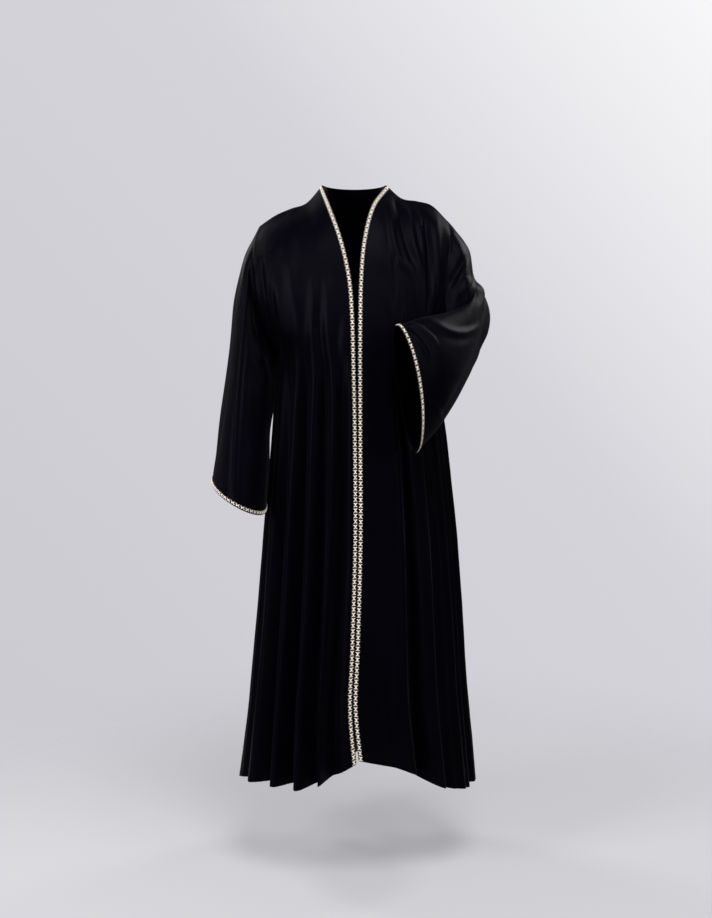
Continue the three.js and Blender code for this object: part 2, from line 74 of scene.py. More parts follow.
# The sections of the two front edges and of the outer edges of the fronts are:
# shoulder, collarbone, chest, bust, ribs, underarm, waist, hip, knee, shin, hem.
RIGHT_EDGE = table(
    "x y z",
    (-78, 14, 54),
    (-57, -55, 6),
    (-29, -106, -70),
    (-10, -132, -155),
    (-3, -152, -248),
    (-0.5, -162, -345),
    (2.6, -166, -500),
    (3.6, -177, -740),
    (-3, -200, -980),
    (-8.5, -216, -1120),
    (1, -234, -1246),
)
LEFT_EDGE = table(
    "x y z",
    (70, 14, 54),
    (34, -55, 6),
    (14, -106, -70),
    (6.5, -132, -155),
    (4.5, -152, -248),
    (4, -162, -345),
    (4.4, -166, -500),
    (5.2, -177, -740),
    (-1, -200, -980),
    (-6, -216, -1120),
    (6, -234, -1238),
)

# round is 0 for a straight section and 1 for a quarter ellipse. q1, q2 and q3 are the
# shares of the height between a front's edges dropped a quarter, half and three
# quarters of the way across.
RIGHT_FRONT_SIDE = table(
    "x y z round q1 q2 q3",
    (-222, 5, -39, 0, 0.43, 0.57, 0.74),
    (-234, -44, -78, 0.4, 0.34, 0.54, 0.75),
    (-236, -76, -135, 0.8, 0.25, 0.5, 0.75),
    (-228, -88, -203, 1, 0.25, 0.5, 0.75),
    (-210, -60, -276, 1, 0.25, 0.5, 0.75),
    (-187, -14, -334, 1, 0.25, 0.5, 0.75),
    (-195, 0, -500, 1, 0.25, 0.5, 0.75),
    (-216, 4, -755, 1, 0.25, 0.5, 0.75),
    (-236, 6, -1000, 1, 0.3, 0.55, 0.8),
    (-251, 3, -1160, 1, 0.45, 0.65, 0.85),
    (-272, 0, -1344, 1, 0.6, 0.68, 0.8),
)
LEFT_FRONT_SIDE = table(
    "x y z round q1 q2 q3",
    (210, 5, -26, 0, 0.37, 0.45, 0.58),
    (215, -46, -64, 0.4, 0.3, 0.47, 0.66),
    (206, -80, -130, 0.8, 0.25, 0.5, 0.75),
    (199, -92, -203, 1, 0.25, 0.5, 0.75),
    (195, -62, -276, 1, 0.25, 0.5, 0.75),
    (186, -12, -338, 1, 0.25, 0.5, 0.75),
    (206, 0, -500, 1, 0.25, 0.5, 0.75),
    (232, 4, -755, 1, 0.25, 0.5, 0.75),
    (249, 6, -1000, 1, 0.25, 0.5, 0.75),
    (260, 3, -1160, 1, 0.25, 0.6, 0.85),
    (276, 0, -1348, 1, 0.24, 0.76, 0.97),
)

# The back of each armhole, from the shoulder to the underarm.
RIGHT_BACK_ARMHOLE = table(
    "x y z", (-222, 5, -39), (-232, 58, -80), (-232, 92, -138), (-224, 100, -205), (-207, 72, -278)
)
LEFT_BACK_ARMHOLE = table(
    "x y z", (210, 5, -26), (221, 58, -70), (216, 92, -134), (210, 100, -205), (200, 72, -278)
)

# The middle of the back. square is 1 for a half ellipse, and less for a flatter back.
BACK_MIDDLE = table(
    "y z square",
    (70, 44, 1),
    (104, -22, 0.5),
    (120, -95, 0.5),
    (126, -175, 0.5),
    (126, -260, 0.6),
    (124, -345, 0.8),
    (124, -500, 0.9),
    (148, -755, 0.9),
    (178, -1000, 0.95),
    (200, -1160, 1),
    (226, -1352, 1),
)

# The large folds. at is the column share where a fold lies, drift how far it has moved
# at the hem, begins the height where it starts, and width its half-width as a share.
RIGHT_FRONT_FOLDS = table(
    "at drift begins depth width",
    (0.085, 0.06, -300, 20, 0.042),
    (0.255, -0.014, -330, 24, 0.055),
    (0.434, -0.048, -300, 28, 0.06),
    (0.647, -0.12, -380, 26, 0.06),
    (0.84, -0.06, -480, 22, 0.055),
)
LEFT_FRONT_FOLDS = table(
    "at drift begins depth width",
    (0.317, 0.065, -330, 30, 0.055),
    (0.52, 0.05, -420, 14, 0.05),
    (0.8, 0.03, -380, 28, 0.06),
)
BACK_FOLDS = table(
    "at drift begins depth width",
    (0.1, -0.01, -420, 26, 0.03),
    (0.22, -0.01, -330, 34, 0.034),
    (0.35, -0.01, -260, 32, 0.034),
    (0.475, 0, -300, 36, 0.036),
    (0.6, 0.01, -240, 30, 0.033),
    (0.72, 0.01, -350, 34, 0.034),
    (0.88, 0.015, -430, 28, 0.032),
)

# Smaller folds beside and between the large ones. full is the height where one reaches
# its whole depth.
RIGHT_FRONT_SMALL_FOLDS = table(
    "at begins full depth width",
    (0.09, -300, -460, 9, 0.04),
    (0.255, -190, -400, 9, 0.042),
    (0.345, -560, -900, 3, 0.022),
    (0.434, -280, -450, 9, 0.045),
    (0.54, -600, -950, 4, 0.024),
    (0.655, -300, -440, 7, 0.045),
    (0.76, -640, -950, 4, 0.024),
    (0.925, -700, -1000, 4, 0.02),
)
LEFT_FRONT_SMALL_FOLDS = table(
    "at begins full depth width",
    (0.17, -760, -1150, 2.5, 0.03),
    (0.317, -330, -470, 9, 0.034),
    (0.415, -430, -560, 5, 0.026),
    (0.6, -360, -470, 5, 0.022),
    (0.69, -350, -460, 6, 0.024),
    (0.8, -360, -500, 6, 0.035),
    (0.9, -420, -560, 4, 0.022),
)
BACK_SMALL_FOLDS = table(
    "at begins full depth width",
    (0.155, -560, -850, 6, 0.014),
    (0.22, -280, -440, 7, 0.026),
    (0.285, -470, -700, 6, 0.015),
    (0.35, -230, -400, 7, 0.026),
    (0.41, -640, -900, 5, 0.013),
    (0.475, -260, -430, 8, 0.027),
    (0.535, -520, -760, 6, 0.015),
    (0.6, -220, -380, 7, 0.026),
    (0.665, -600, -880, 6, 0.014),
    (0.72, -300, -460, 7, 0.026),
    (0.79, -560, -820, 6, 0.016),
    (0.945, -700, -1000, 4, 0.012),
)

# Sections of the sleeves, through the outer, front, inner and back side of a hanging
# arm. On the bent left arm the front side lies on top of the forearm.
RIGHT_SLEEVE = [
    [(-257, 5, -110), (-245, -102, -212), (-190, -26, -366), (-244, 108, -220)],
    [(-277, 0, -200), (-252, -116, -285), (-186, -54, -412), (-250, 100, -290)],
    [(-290, -4, -330), (-260, -134, -400), (-197, -60, -490), (-256, 88, -400)],
    [(-311, -18, -475), (-270, -154, -525), (-200, -62, -590), (-262, 74, -515)],
    [(-334, -42, -624), (-272, -176, -664), (-208, -66, -692), (-272, 62, -640)],
]
LEFT_SLEEVE = [
    [(259, 6, -90), (226, -102, -205), (203, -16, -364), (240, 106, -222)],
    [(273, 2, -161), (246, -102, -215), (214, -10, -376), (270, 86, -258)],
    [(298, -18, -202), (252, -92, -224), (224, -30, -384), (290, 18, -320)],
    [(260, -138, -284), (220, -124, -228), (200, -84, -356), (252, -62, -390)],
    [(200, -246, -356), (150, -206, -236), (146, -146, -372), (188, -158, -478)],
    [(136, -286, -386), (88, -262, -250), (92, -206, -390), (130, -232, -534)],
]

# ---- Creases ----

# A crease is a soft ridge (depth above 0) or trough (below 0), drawn as it is seen from
# one side: the side, its path, its width and its depth. The path has x and z from the
# front or the back, and y and z from a side.

RIGHT_FRONT_CREASES = [
    ("front", [(-216, -100), (-212, -160), (-202, -230), (-188, -300)], 7, -5),
    ("front", [(-196, -150), (-188, -220), (-180, -290), (-178, -360)], 8, -5),
    ("front", [(-150, -90), (-146, -160), (-134, -260), (-136, -420)], 11, 2.5),
    ("front", [(-94, -130), (-97, -230), (-101, -400)], 9, 3),
    ("front", [(-63, -120), (-64, -240), (-68, -400)], 9, 2.5),
    ("front", [(-86, 10), (-112, -50), (-130, -130)], 22, -1.5),
    ("front", [(-176, -60), (-190, -120), (-190, -190)], 16, 2),
    ("front", [(-30, -210), (-42, -300), (-44, -430)], 9, -2.5),
]
LEFT_FRONT_CREASES = [
    ("front", [(72, 34), (79, -28), (88, -81), (103, -119), (122, -150)], 6.5, 3.4),
    ("front", [(84, 28), (94, 4), (108, -60), (122, -104), (126, -136)], 6, -3.2),
    ("front", [(104, 20), (118, -12), (133, -79), (144, -127), (146, -205)], 6.5, 3.4),
    ("front", [(126, 12), (138, -20), (152, -68), (160, -120)], 7.5, 1.6),
    ("front", [(152, 0), (159, -52), (166, -125), (167, -190), (164, -250)], 7, -6),
    ("front", [(180, 0), (183, -66), (186, -136), (180, -200)], 9, 3),
    ("front", [(85, -84), (87, -150), (87, -240)], 5, -3),
    ("front", [(105, -100), (126, -130), (135, -178), (137, -250)], 9, 3.5),
    ("front", [(110, -160), (114, -230), (112, -310)], 6, -2.5),
    ("front", [(60, -10), (58, -80), (62, -150)], 16, 1.5),
    ("front", [(188, -190), (178, -240), (172, -300)], 7, -3.5),
]
BACK_CREASES = [
    ("back", [(-190, -90), (-170, -200), (-150, -340), (-146, -470)], 20, -6),
    ("back", [(184, -80), (170, -190), (150, -330), (150, -460)], 20, -6),
    ("back", [(-206, -220), (-178, -300), (-140, -360)], 12, -5),
    ("back", [(200, -215), (176, -292), (144, -350)], 12, -5),
    ("back", [(-58, 30), (-64, -40), (-76, -130)], 14, -2.5),
    ("back", [(44, 30), (56, -50), (66, -140)], 14, -2.5),
    ("back", [(-20, 30), (-24, -60), (-16, -170), (-20, -280)], 17, 3),
    ("back", [(-120, -20), (-116, -130), (-104, -250)], 16, 3),
    ("back", [(104, -14), (108, -120), (98, -240)], 16, 3),
    ("back", [(150, -60), (140, -160), (122, -260)], 14, -3),
]
RIGHT_SLEEVE_CREASES = [
    (
        "front",
        [(-242, -96), (-247, -180), (-259, -330), (-269, -460), (-275, -600), (-272, -668)],
        3.4,
        3.4,
    ),
    ("front", [(-236, -120), (-230, -190), (-220, -270), (-206, -350)], 8, -7),
    ("front", [(-226, -250), (-218, -320), (-200, -350)], 4.5, 4),
    ("front", [(-232, -330), (-226, -430), (-222, -560)], 14, -3),
    ("left", [(-10, -290), (-34, -370), (-56, -440), (-60, -530)], 22, 6),
    ("right", [(-40, -130), (-56, -280), (-80, -430), (-100, -600)], 16, -4),
    ("right", [(10, -110), (4, -260), (-10, -420), (-24, -600)], 20, 5),
    ("right", [(56, -160), (44, -300), (26, -450), (10, -610)], 15, -5),
    ("back", [(-246, -180), (-254, -320), (-262, -460), (-270, -620)], 16, -5),
    ("back", [(-216, -300), (-222, -420), (-236, -560)], 11, -4),
    ("back", [(-282, -190), (-296, -340), (-312, -520)], 12, 4),
]
LEFT_SLEEVE_CREASES = [
    ("front", [(206, -34), (222, -56), (238, -90), (244, -120)], 9, 4),
    ("front", [(250, -100), (238, -126), (222, -152), (204, -186)], 8, -7),
    ("front", [(262, -150), (246, -176), (222, -200)], 8, 3),
    ("front", [(140, -236), (176, -250), (220, -270), (262, -270), (296, -248)], 8, 4.5),
    ("front", [(100, -244), (137, -254), (166, -276), (182, -306)], 4.5, 4),
    ("front", [(112, -254), (140, -274), (160, -304)], 3.5, -2.5),
    ("front", [(110, -256), (131, -276), (150, -303), (162, -334)], 4, 3),
    ("front", [(246, -270), (240, -330), (212, -384)], 24, 3.5),
    ("front", [(246, -366), (216, -420), (186, -466)], 10, -3.5),
    ("front", [(158, -404), (176, -442), (194, -470)], 9, 3.5),
    ("front", [(302, -250), (280, -306), (246, -366)], 9, -3),
    ("left", [(-30, -130), (-48, -180), (-96, -216)], 12, -5),
    ("left", [(20, -140), (-6, -204), (-56, -262)], 13, -6),
    ("left", [(50, -180), (20, -250), (-50, -320)], 13, 5),
    ("left", [(60, -240), (10, -300), (-60, -370), (-130, -430)], 14, -5),
    ("back", [(230, -120), (250, -200), (262, -270)], 15, -6),
    ("back", [(260, -130), (276, -200), (288, -250)], 12, 4),
    ("back", [(214, -260), (246, -300), (262, -340)], 13, -5),
    ("back", [(120, -330), (160, -360), (210, -370)], 14, -5),
]

# ---- Curves and surfaces ----


def bend(a, b, c, d, t):
    """A smooth way from b (t is 0) to c (t is 1), that comes from a and goes on to d."""
    return b + 0.5 * t * (c - a + t * (2 * a - 5 * b + 4 * c - d + t * (3 * (b - c) + d - a)))


def smooth(values, place):
    """A smooth curve through equally spaced values, at places counted in values."""
    values, place = np.asarray(values, float), np.asarray(place, float)
    last = len(values) - 1
    start = np.clip(np.floor(place).astype(int), 0, last - 1)
    t = (place - start).reshape(place.shape + (1,) * (values.ndim - 1))
    ends = 2 * values[0] - values[1], 2 * values[-1] - values[-2]
    padded = np.concatenate([ends[0][None], values, ends[1][None]])
    return bend(*(padded[start + i] for i in range(4)), t)


def smooth_stack(values, place):
    """The same curve, where every place has values of its own along the first axis."""
    values = np.array(np.broadcast_arrays(*values))
    last = len(values) - 1
    start = np.clip(np.floor(place).astype(int), 0, last - 1)
    t = place - start
    padded = np.concatenate([[2 * values[0] - values[1]], values, [2 * values[-1] - values[-2]]])
    return bend(*(np.take_along_axis(padded, (start + i)[None], 0)[0] for i in range(4)), t)


def mix(a, b, share):
    """The value at a share of the way from a to b."""
    return a + (b - a) * share


def ease(share):
    """0 below 0 and 1 above 1, with a smooth step between."""
    t = np.clip(share, 0, 1)
    return t * t * (3 - 2 * t)


def fold_offset(folds, small_folds, share, z, hem_z):
    """How far the folds move the cloth outwards: a trough with a soft ridge each side.

    A large fold deepens down to the hem. A small one soon has its whole depth.
    """
    offset = np.zeros(np.broadcast(share, z).shape)

    def add(at, width, depth):
        across = (share - at) / width
        np.subtract(offset, depth * (1 - across**2) * np.exp(-(across**2) / 2), out=offset)

    names = ("at", "begins", "depth", "width")
    for at, begins, depth, width in zip(*(folds[name] for name in names)):
        down = np.clip((begins - z) / (begins - hem_z), 0, 1)
        add(at, width, depth * down**FOLD_GROWTH)
    for at, begins, full, depth, width in zip(*small_folds.values()):
        add(at, width, depth * ease((begins - z) / (begins - full)))
    return offset * ease(share / FOLD_FADE) * ease((1 - share) / FOLD_FADE)


def fold_drift(folds, share, z, hem_z):
    """How far the columns drift along with the folds beside them."""
    at = np.array([0, *folds["at"], 1])
    drift = np.array([0, *folds["drift"], 0])
    after = np.clip(np.searchsorted(at, share), 1, len(at) - 1)
    t = ease((share - at[after - 1]) / (at[after] - at[after - 1]))
    return mix(drift[after - 1], drift[after], t) * np.clip(z / hem_z, 0, 1)


def front_point(panel, share, v):
    """A point of a front: share runs from the front edge to the armhole and side seam."""
    share, v = np.broadcast_arrays(np.asarray(share, float), np.asarray(v, float))
    edge, side = panel["edge"], panel["side"]
    ex, ey, ez = (smooth(edge[name], v) for name in "xyz")
    sx, sy, sz = (smooth(side[name], v) for name in "xyz")
    q1, q2, q3, roundness = (smooth(side[name], v) for name in ("q1", "q2", "q3", "round"))
    hem_z = side["z"][-1]
    u = share + fold_drift(panel["folds"], share, mix(ez, sz, share), hem_z)
    angle = u * math.pi / 2
    x = mix(mix(ex, sx, u), mix(ex, sx, np.sin(angle)), roundness)
    y = mix(mix(ey, sy, u), mix(sy, ey, np.cos(angle)), roundness)
    z = mix(ez, sz, smooth_stack([np.zeros_like(u), q1, q2, q3, np.ones_like(u)], u * 4))
    out_x = panel["turn"] * np.sin(angle) * np.abs(ey - sy)
    out_y = -np.cos(angle) * np.abs(sx - ex)
    offset = fold_offset(panel["folds"], panel["small_folds"], share, z, hem_z)
    offset /= np.hypot(out_x, out_y)
    return np.stack([x + out_x * offset, y + out_y * offset, z], -1)


def front_share(panel, columns, v):
    """The share of each column on each row: the first strip carries the braid."""
    edge, inside = front_point(panel, 0, v), front_point(panel, EDGE_SHARE, v)
    reach = np.linalg.norm(inside - edge, axis=-1)
    strip = (BRAID_WIDTH * EDGE_SHARE / reach)[..., None]
    beyond = mix(strip, 1, (columns - 1) / (FRONT_COLUMNS - 1))
    return np.where(columns < 1, strip * columns, beyond)


def front_grid(panel, columns, rows):
    """The points of a front, at each of the rows and columns."""
    return front_point(panel, front_share(panel, columns, rows), rows[:, None])


def back_top(columns):
    """The back's first section: the shoulder seams and the back neck between them."""
    top = np.zeros((len(columns), 3))
    start = np.zeros(1)
    right = columns <= FRONT_COLUMNS
    left = columns >= FRONT_COLUMNS + NECK_COLUMNS
    top[right] = front_grid(RIGHT_FRONT, FRONT_COLUMNS - columns[right], start)[0]
    top[left] = front_grid(LEFT_FRONT, columns[left] - FRONT_COLUMNS - NECK_COLUMNS, start)[0]
    neck = ~(right | left)
    share = (columns[neck] - FRONT_COLUMNS) / NECK_COLUMNS
    angle = math.pi * share
    across = mix(share, (1 - np.cos(angle)) / 2, NECK_ROUND)
    a, b = (np.array([edge[name][0] for name in "xyz"]) for edge in (RIGHT_EDGE, LEFT_EDGE))
    top[neck, 0] = mix(a[0], b[0], across)
    top[neck, 1] = mix(a[1], BACK_MIDDLE["y"][0], np.sin(angle) ** NECK_FULL)
    top[neck, 2] = mix(a[2], BACK_MIDDLE["z"][0], np.sin(angle))
    return top


def back_lines(columns):
    """The points of each column at the back's eleven sections."""
    share = columns / BACK_COLUMNS
    hem_z = BACK_MIDDLE["z"][-1]
    lines = [back_top(columns)]
    for section in range(1, HEM + 1):
        at_armhole = section < UNDERARM
        right = RIGHT_BACK_ARMHOLE if at_armhole else RIGHT_FRONT_SIDE
        left = LEFT_BACK_ARMHOLE if at_armhole else LEFT_FRONT_SIDE
        middle = {name: BACK_MIDDLE[name][section] for name in ("y", "z", "square")}
        s = share + fold_drift(BACK_FOLDS, share, middle["z"], hem_z)
        arc = np.clip(np.sin(math.pi * s), 0, 1)
        (rx, ry, rz), (lx, ly, lz) = ([side[n][section] for n in "xyz"] for side in (right, left))
        x = mix(rx, lx, (1 - np.cos(math.pi * s)) / 2)
        y = mix(mix(ry, ly, s), middle["y"], arc ** middle["square"])
        z = mix(mix(rz, lz, s), middle["z"], arc)
        lines.append(np.stack([x, y, z], -1))
    return np.array(lines)


def back_folded(points, columns):
    """Points of the back, moved out and in by its folds."""
    s = columns / BACK_COLUMNS
    hem_z = BACK_MIDDLE["z"][-1]
    offset = fold_offset(BACK_FOLDS, BACK_SMALL_FOLDS, s, points[..., 2], hem_z)
    outwards = np.stack([-np.cos(math.pi * s), np.sin(math.pi * s), np.zeros_like(s)], -1)
    return points + outwards * offset[..., None]


def join_side_seam(front, back, front_columns, distance_at_back, back_end):
    """Below the underarm a front and the back share the side seam, at its middle."""
    below = BODY_ROWS > UNDERARM
    middle = (front[below, -1] + back[below, back_end]) / 2
    for grid, distance, end in (
        (front, FRONT_COLUMNS - front_columns, -1),
        (back, distance_at_back, back_end),
    ):
        lean = (middle - grid[below, end])[:, None]
        grid[below] += lean * (1 - ease(distance / SIDE_LEAN_COLUMNS))[None, :, None]


def armhole(arm, turns, inside=0.0):
    """The points round an armhole, or a share of a panel inside of it on the body."""
    steps = (len(ARMHOLE_ROWS) - 1) * 2
    place = turns * steps
    half = steps / 2
    front_v = smooth(ARMHOLE_ROWS, np.minimum(place, half))
    back_v = smooth(ARMHOLE_ROWS, np.minimum(steps - place, half))
    ring = front_point(arm["front"], 1 - inside, front_v)
    ends = np.array([inside, 1 - inside]) * BACK_COLUMNS
    back_edge = smooth(back_lines(ends)[:, arm["back_end"]], back_v)
    ring[place > half] = back_edge[place > half]
    return ring


def sleeve_lines(arm, turns):
    """The points of each line of a sleeve, from its armhole through its sections."""
    c, s = np.cos(2 * math.pi * turns), np.sin(2 * math.pi * turns)
    weights = np.stack([(c * c + c) / 2, (s * s + s) / 2, (c * c - c) / 2, (s * s - s) / 2])
    sides = np.array(arm["sections"], float)
    return np.concatenate([armhole(arm, turns)[None], np.einsum("wt,nwk->ntk", weights, sides)])


RIGHT_FRONT = {
    "edge": RIGHT_EDGE,
    "side": RIGHT_FRONT_SIDE,
    "folds": RIGHT_FRONT_FOLDS,
    "small_folds": RIGHT_FRONT_SMALL_FOLDS,
    "turn": -1,
}
LEFT_FRONT = {
    "edge": LEFT_EDGE,
    "side": LEFT_FRONT_SIDE,
    "folds": LEFT_FRONT_FOLDS,
    "small_folds": LEFT_FRONT_SMALL_FOLDS,
    "turn": 1,
}
RIGHT_ARM = {"front": RIGHT_FRONT, "back_end": 0, "sections": RIGHT_SLEEVE}
LEFT_ARM = {"front": LEFT_FRONT, "back_end": 1, "sections": LEFT_SLEEVE}

# ---- Detail worked into a grid: creases, a slight wander, seams and hems ----

LOOKS_ALONG = {  # the two axes of a view and the direction that faces its viewer
    "front": ((0, 2), (0, -1, 0)),
    "back": ((0, 2), (0, 1, 0)),
    "right": ((1, 2), (-1, 0, 0)),
    "left": ((1, 2), (1, 0, 0)),
}
FACING = 0.45  # a crease is whole where the cloth faces its side at least this squarely
BANKS = 0.55  # how much of a crease's depth the cloth beside it moves the other way
PATH_STEPS = 14  # straight pieces that a crease's path is measured by
TAPER = 0.28  # share of a crease's length over which each end dies out
WAVES = 7  # that make up a wander
WAVE_STRETCH = (1, 1, 0.35)  # under 1, waves are longer along that axis
WANDERS = ((170, 1.6), (60, 0.7))  # size and height of each wander of the cloth
SEAM_CALM = 14  # distance from a seam over which creases die out
SEAM_ROLL = 0.5  # how far cloth turns in at a sewn edge
SEAM_REACH = 2.4  # distance from a seam over which it does
SEAM_ALLOWANCE = 4.0  # width of a sleeve's edge that lies under the body's cloth
SEAM_TUCK = 1.5  # how far under it lies
HEM_DEPTH = 16.0
HEM_LIFT = 0.45  # the turned hem stands this far proud of the cloth above it
STITCH_DENT = 0.5
STITCH_WIDTH = 1.0
STITCHES_BELOW = 1.6  # from the top of the turned hem
HEM_STEP = 1.5  # length of cloth over which the turned hem rises
EDGE_CALM = 26.0  # distance from a braided edge over which creases die out
ALLOWANCE_SHARE = 0.02  # share of a panel's width that shows which way it leaves a seam
FAR = 1e3  # a distance where no edge or seam is felt
NECK_BLEND = 1.5  # columns over which the neck's edge turns into the shoulder seam


def grid_normals(grid, closed, outwards):
    """The unit normals of a grid, on its side that faces out."""
    if closed:
        across = np.roll(grid, -1, 1) - np.roll(grid, 1, 1)
    else:
        across = np.gradient(grid, axis=1)
    normals = np.cross(across, np.gradient(grid, axis=0)) * outwards
    return normals / np.maximum(np.linalg.norm(normals, axis=-1, keepdims=True), 1e-9)


def crease_height(grid, normals, creases):
    """The height of all creases of a piece, at each point of its grid."""
    height = np.zeros(grid.shape[:2])
    for look, path, width, depth in creases:
        axes, facing = LOOKS_ALONG[look]
        points = grid[..., axes]
        seen = ease(normals @ np.array(facing, float) / FACING)
        places = np.linspace(0, len(path) - 1, PATH_STEPS + 1)
        stops = smooth(path, places)
        nearest = np.full(height.shape, np.inf)
        along = np.zeros(height.shape)
        for i, (a, b) in enumerate(zip(stops[:-1], stops[1:])):
            run = b - a
            t = np.clip((points - a) @ run / (run @ run), 0, 1)
            distance = np.linalg.norm(points - a - t[..., None] * run, axis=-1)
            closer = distance < nearest
            nearest = np.where(closer, distance, nearest)
            along = np.where(closer, (i + t) / PATH_STEPS, along)
        q = nearest / width
        profile = (1 - BANKS * q**2) * np.exp(-(q**2) / 2)
        fade = ease(along / TAPER) * ease((1 - along) / TAPER)
        height += depth * profile * fade * seen
    return height


def wander(grid, size, seed):
    """A smooth, uneven height between about -1 and 1, drawn out down the cloth."""
    rng = np.random.default_rng(seed)
    height = np.zeros(grid.shape[:2])
    for _ in range(WAVES):
        wave = rng.normal(size=3) * WAVE_STRETCH / size
        height += np.sin(2 * math.pi * (grid @ wave) + rng.uniform(0, 2 * math.pi))
    return height / WAVES


def distance_along(grid, axis, from_end=False):
    """The length along the cloth from its first or last row (axis 0) or column (axis 1)."""
    steps = np.linalg.norm(np.diff(grid, axis=axis), axis=-1)
    pad = [(1, 0), (0, 0)] if axis == 0 else [(0, 0), (1, 0)]
    length = np.cumsum(np.pad(steps, pad), axis=axis)
    if from_end:
        length = np.take(length, [-1], axis=axis) - length
    return length


def hem_relief(distance):
    """A turned hem: a slightly thicker band, with a dent along its line of stitches."""
    band = HEM_LIFT * ease((HEM_DEPTH - distance) / HEM_STEP)
    from_stitches = (distance - HEM_DEPTH + STITCHES_BELOW) / STITCH_WIDTH
    return band - STITCH_DENT * np.exp(-(from_stitches**2))


def detailed(grid, creases, seed, calm, seams, hem=False, closed=False, outwards=1):
    """The grid with its detail. calm and seams hold distances to braided and sewn edges."""
    normals = grid_normals(grid, closed, outwards)
    height = crease_height(grid, normals, creases)
    for i, (size, most) in enumerate(WANDERS):
        height += most * wander(grid, size, seed + i)
    for distance in calm:
        height *= ease((distance - BRAID_WIDTH) / EDGE_CALM)
    for distance in seams:
        height *= ease(distance / SEAM_CALM)
    for distance in seams:
        height -= SEAM_ROLL * np.exp(-((distance / SEAM_REACH) ** 2))
    if hem:
        height += hem_relief(distance_along(grid, 0, from_end=True))
    return grid + normals * height[..., None]


# ---- The five cloth grids ----

ROWS_IN_SECTION = (9, 10, 11, 11, 11, 24, 36, 36, 24, 26)
HEM_ROWS_MM = (0.7, 2, 5, 9, 12.5, 13.6, 14.4, 15.2, 16, 17, 19, 23)  # above the hem
HEM_SECTION_MM = 165.0  # about the length of the last section
HEM_ROWS_FROM = 25.0  # the other rows end this far above the hem
SEAM_STEPS = np.array([0.06, 0.15, 0.3, 0.55])  # extra columns beside a seam
SEAM_ROWS = SEAM_STEPS / 4  # extra rows below one
STEPS_IN_FRONT_COLUMN = 4
STEPS_IN_BACK_COLUMN = 3
SLEEVE_COLUMNS = 200


def with_steps(columns, steps_in_column, seams):
    """Even steps across a panel, and extra ones beside the seams at its ends."""
    even = np.linspace(0, columns, steps_in_column * columns + 1)
    extra = [abs(seam - step) for seam in seams for step in SEAM_STEPS]
    return np.unique(np.round(np.concatenate([even, extra]), 6))


def body_rows():
    """The rows of the fronts and the back, closer together at the shoulders and the hem."""
    rows = np.concatenate(
        [section + np.arange(n) / n for section, n in enumerate(ROWS_IN_SECTION)] + [[HEM]]
    )
    rows = rows[rows < HEM - HEM_ROWS_FROM / HEM_SECTION_MM]
    hem = HEM - np.array([0, *HEM_ROWS_MM]) / HEM_SECTION_MM
    return np.unique(np.concatenate([rows, hem, SEAM_ROWS]))


def sleeve_grid(arm, rows_in_section):
    """The points of a sleeve, with extra rows below the seam at its armhole."""
    lines = sleeve_lines(arm, SLEEVE_TURNS)
    sections = len(lines) - 1
    rows = np.linspace(0, sections, sections * rows_in_section + 1)
    return smooth(lines, np.unique(np.concatenate([rows, SEAM_ROWS])))


BODY_ROWS = body_rows()
FRONT_STEPS = with_steps(FRONT_COLUMNS, STEPS_IN_FRONT_COLUMN, (FRONT_COLUMNS,))
BACK_STEPS = with_steps(BACK_COLUMNS, STEPS_IN_BACK_COLUMN, (0, BACK_COLUMNS))
SLEEVE_TURNS = np.arange(SLEEVE_COLUMNS) / SLEEVE_COLUMNS
UNDERARM_TURN = 0.5

right_front_grid = front_grid(RIGHT_FRONT, FRONT_STEPS, BODY_ROWS)
left_front_grid = front_grid(LEFT_FRONT, FRONT_STEPS, BODY_ROWS)
back_grid = back_folded(smooth(back_lines(BACK_STEPS), BODY_ROWS), BACK_STEPS)
join_side_seam(right_front_grid, back_grid, FRONT_STEPS, BACK_STEPS, 0)
join_side_seam(left_front_grid, back_grid, FRONT_STEPS, BACK_COLUMNS - BACK_STEPS, -1)
right_sleeve_grid = sleeve_grid(RIGHT_ARM, rows_in_section=22)
left_sleeve_grid = sleeve_grid(LEFT_ARM, rows_in_section=20)


def front_detail(grid, creases, seed, outwards):
    """A front has a braided edge, a seam at its side and at the shoulder, and a hem."""
    return detailed(
        grid,
        creases,
        seed,
        calm=[distance_along(grid, 1)],
        seams=[distance_along(grid, 1, from_end=True), distance_along(grid, 0)],
        hem=True,
        outwards=outwards,
    )


def back_detail(grid):
    """The back's top row is a seam on the shoulders and a braided edge at the neck."""
    down = distance_along(grid, 0)
    middle = FRONT_COLUMNS + NECK_COLUMNS / 2
    from_neck = np.abs(BACK_STEPS - middle) - NECK_COLUMNS / 2
    at_neck = ease(1 - from_neck / NECK_BLEND)
    return detailed(
        grid,
        BACK_CREASES,
        seed=31,
        calm=[mix(FAR, down, at_neck)],
        seams=[
            distance_along(grid, 1),
            distance_along(grid, 1, from_end=True),
            down + FAR * at_neck,
        ],
        hem=True,
    )


def sleeve_detail(grid, arm, creases, seed, outwards):
    """A sleeve has a seam along the underarm and one at the armhole, with an allowance."""
    half_round = distance_along(grid, 1)
    underarm = half_round[:, [int(len(SLEEVE_TURNS) * UNDERARM_TURN)]]
    sleeve = detailed(
        grid,
        creases,
        seed,
        calm=[distance_along(grid, 0, from_end=True)],
        seams=[distance_along(grid, 0), np.abs(half_round - underarm)],
        closed=True,
        outwards=outwards,
    )
    way = armhole(arm, SLEEVE_TURNS, ALLOWANCE_SHARE) - armhole(arm, SLEEVE_TURNS)
    way /= np.linalg.norm(way, axis=-1, keepdims=True)
    allowance = np.stack([sleeve[0] + SEAM_ALLOWANCE * way, sleeve[0]])
    under = SEAM_TUCK * grid_normals(allowance, True, outwards)[0]
    return np.concatenate([[allowance[0] - under], sleeve])


